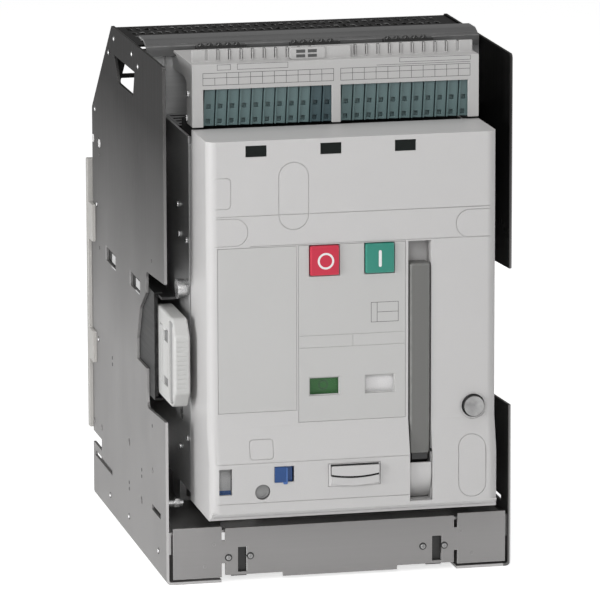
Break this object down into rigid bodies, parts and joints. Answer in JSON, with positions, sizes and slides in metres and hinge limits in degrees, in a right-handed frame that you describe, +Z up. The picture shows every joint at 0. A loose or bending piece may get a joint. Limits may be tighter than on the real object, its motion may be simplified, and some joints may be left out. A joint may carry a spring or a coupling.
{
  "type": "air switch disconnector",
  "caption": "Draw-out low-voltage air switch-disconnector in its open sheet-steel cradle, with buttons, charging lever and flags on its front and flat terminals behind.",
  "frame": {"origin": "centre of the four floor holes, on the underside of the feet", "axes": "+Z up, +Y to the rear terminals, +X to the operator's right"},
  "size_m": [0.32, 0.482, 0.473],
  "materials": {
    "plate_steel": "brushed, passivated",
    "galvanised": "galvanised",
    "bright_steel": "turned or ground",
    "black_sheet": "black, satin",
    "black_plastic": "moulded",
    "cover_grey": "fine moulded grain",
    "panel_grey": "fine moulded grain",
    "lever_grey": "satin",
    "insulator_grey": "moulded compound",
    "terminal_teal": "moulded",
    "red_plastic": "moulded",
    "green_plastic": "moulded",
    "blue_plastic": "moulded",
    "flag_white": "printed",
    "clear_lens": "clear",
    "copper": "silver-plated copper"
  },
  "bodies": {
    "cradle": {"left_side_plate": "plate_steel", "right_side_plate": "plate_steel", "floor_plate": "galvanised", "front_cross_plate": "plate_steel", "top_cross_bar": "galvanised", "terminal_carrier": "galvanised", "top_perforated_cover": "black_sheet", "rear_screen": "black_plastic", "vent_combs": "black_plastic", "rear_base_moulding": "insulator_grey", "upper_terminals": "copper", "lower_terminals": "copper", "shutter_guides": "galvanised", "rail_guides": "galvanised", "screw_bearings": "bright_steel", "terminal_block_frame": "cover_grey", "left_terminal_strip": "terminal_teal", "right_terminal_strip": "terminal_teal"},
    "upper_shutter": {"upper_shutter": "insulator_grey"},
    "lower_shutter": {"lower_shutter": "insulator_grey"},
    "left_rail": {"left_rail": "galvanised", "left_grip": "cover_grey"},
    "right_rail": {"right_rail": "galvanised", "right_grip": "cover_grey"},
    "racking_carriage": {"racking_carriage": "galvanised"},
    "racking_screw": {"racking_screw": "bright_steel"},
    "switch": {"front_cover": "cover_grey", "blank_panel": "panel_grey", "centre_panel": "panel_grey", "port_lenses": "clear_lens", "indicator_lenses": "clear_lens", "mechanism_plates": "galvanised", "front_deck": "galvanised", "closing_spring": "bright_steel", "spring_guide": "bright_steel", "left_side_frame": "galvanised", "right_side_frame": "galvanised", "side_rollers": "bright_steel", "drive_pins": "bright_steel", "pole_case_front": "insulator_grey", "pole_case_rear": "insulator_grey", "arc_chutes": "black_plastic", "upper_conductors": "copper", "lower_conductors": "copper", "upper_jaws": "copper", "lower_jaws": "copper"},
    "contact_arms": {"contact_arms": "copper"},
    "pole_shaft": {"pole_shaft": "bright_steel"},
    "link_rods": {"link_rods": "insulator_grey"},
    "contact_flag": {"contact_flag": "flag_white"},
    "spring_flag": {"spring_flag": "flag_white"},
    "position_flag": {"position_flag": "flag_white"},
    "release_slider": {"release_slider": "blue_plastic"},
    "padlock_hasp": {"padlock_hasp": "panel_grey"},
    "charging_lever": {"charging_lever": "lever_grey", "lever_hub": "bright_steel"},
    "charging_shaft": {"charging_shaft": "bright_steel"},
    "off_button": {"off_button": "red_plastic"},
    "on_button": {"on_button": "green_plastic"},
    "release_button": {"release_button": "lever_grey"}
  },
  "joints": [
    {"name": "left_rail_slide", "type": "slide", "parent": "cradle", "child": "left_rail", "axis": [0, -1, 0], "range_m": [-0.049, 0.181]},
    {"name": "right_rail_slide", "type": "slide", "parent": "cradle", "child": "right_rail", "axis": [0, -1, 0], "range_m": [0, 0.23]},
    {"name": "racking_travel", "type": "slide", "parent": "cradle", "child": "racking_carriage", "axis": [0, -1, 0], "range_m": [0, 0.056]},
    {"name": "racking_screw_turn", "type": "hinge", "parent": "cradle", "child": "racking_screw", "pos_m": [-0.0826, 0, 0.0953], "axis": [0, 1, 0], "range_deg": [-2520, 0]},
    {"name": "switch_pull_out", "type": "slide", "parent": "racking_carriage", "child": "switch", "axis": [0, -1, 0], "range_m": [0, 0.2]},
    {"name": "upper_shutter_drop", "type": "slide", "parent": "cradle", "child": "upper_shutter", "axis": [0, 0, -1], "range_m": [0, 0.045]},
    {"name": "lower_shutter_lift", "type": "slide", "parent": "cradle", "child": "lower_shutter", "axis": [0, 0, 1], "range_m": [0, 0.045]},
    {"name": "pole_shaft_turn", "type": "hinge", "parent": "switch", "child": "pole_shaft", "pos_m": [0, -0.108, 0.14], "axis": [1, 0, 0], "range_deg": [-20, 0]},
    {"name": "contact_arm_turn", "type": "hinge", "parent": "switch", "child": "contact_arms", "pos_m": [0, -0.004, 0.14], "axis": [1, 0, 0], "range_deg": [-20, 0]},
    {"name": "link_rod_turn", "type": "hinge", "parent": "pole_shaft", "child": "link_rods", "pos_m": [0, -0.12339, 0.18229], "axis": [1, 0, 0], "range_deg": [0, 20]},
    {"name": "contact_flag_slide", "type": "slide", "parent": "switch", "child": "contact_flag", "axis": [0, 0, 1], "range_m": [-0.0156, 0]},
    {"name": "charging_shaft_turn", "type": "hinge", "parent": "switch", "child": "charging_shaft", "pos_m": [0, -0.168, 0.215], "axis": [1, 0, 0], "range_deg": [0, 180]},
    {"name": "spring_flag_slide", "type": "slide", "parent": "switch", "child": "spring_flag", "axis": [0, 0, 1], "range_m": [-0.0156, 0]},
    {"name": "position_flag_slide", "type": "slide", "parent": "switch", "child": "position_flag", "axis": [0, 0, -1], "range_m": [0, 0.018]},
    {"name": "charging_lever_turn", "type": "hinge", "parent": "switch", "child": "charging_lever", "pos_m": [0, -0.203, 0.106], "axis": [1, 0, 0], "range_deg": [0, 75], "stiffness_Nm_per_rad": 0.6, "springref_deg": -5.73},
    {"name": "off_button_push", "type": "slide", "parent": "switch", "child": "off_button", "axis": [0, 1, 0], "range_m": [0, 0.004], "stiffness_N_per_m": 600, "springref_m": -0.002},
    {"name": "on_button_push", "type": "slide", "parent": "switch", "child": "on_button", "axis": [0, 1, 0], "range_m": [0, 0.004], "stiffness_N_per_m": 600, "springref_m": -0.002},
    {"name": "release_button_push", "type": "slide", "parent": "switch", "child": "release_button", "axis": [0, 1, 0], "range_m": [0, 0.004], "stiffness_N_per_m": 600, "springref_m": -0.002},
    {"name": "release_slider_slide", "type": "slide", "parent": "switch", "child": "release_slider", "axis": [1, 0, 0], "range_m": [0, 0.007]},
    {"name": "padlock_hasp_slide", "type": "slide", "parent": "switch", "child": "padlock_hasp", "axis": [0, -1, 0], "range_m": [0, 0.012]}
  ],
  "couplings": [
    {"joint": "racking_screw_turn", "follows": "racking_travel", "rad_per_m": -785.4},
    {"joint": "position_flag_slide", "follows": "racking_travel", "ratio": 0.32143},
    {"joint": "upper_shutter_drop", "follows": "switch_pull_out", "ratio": 0.225},
    {"joint": "lower_shutter_lift", "follows": "switch_pull_out", "ratio": 0.225},
    {"joint": "contact_arm_turn", "follows": "pole_shaft_turn", "ratio": 1},
    {"joint": "link_rod_turn", "follows": "pole_shaft_turn", "ratio": -1},
    {"joint": "contact_flag_slide", "follows": "pole_shaft_turn", "m_per_rad": 0.044691},
    {"joint": "spring_flag_slide", "follows": "charging_shaft_turn", "m_per_rad": -0.004966}
  ]
}
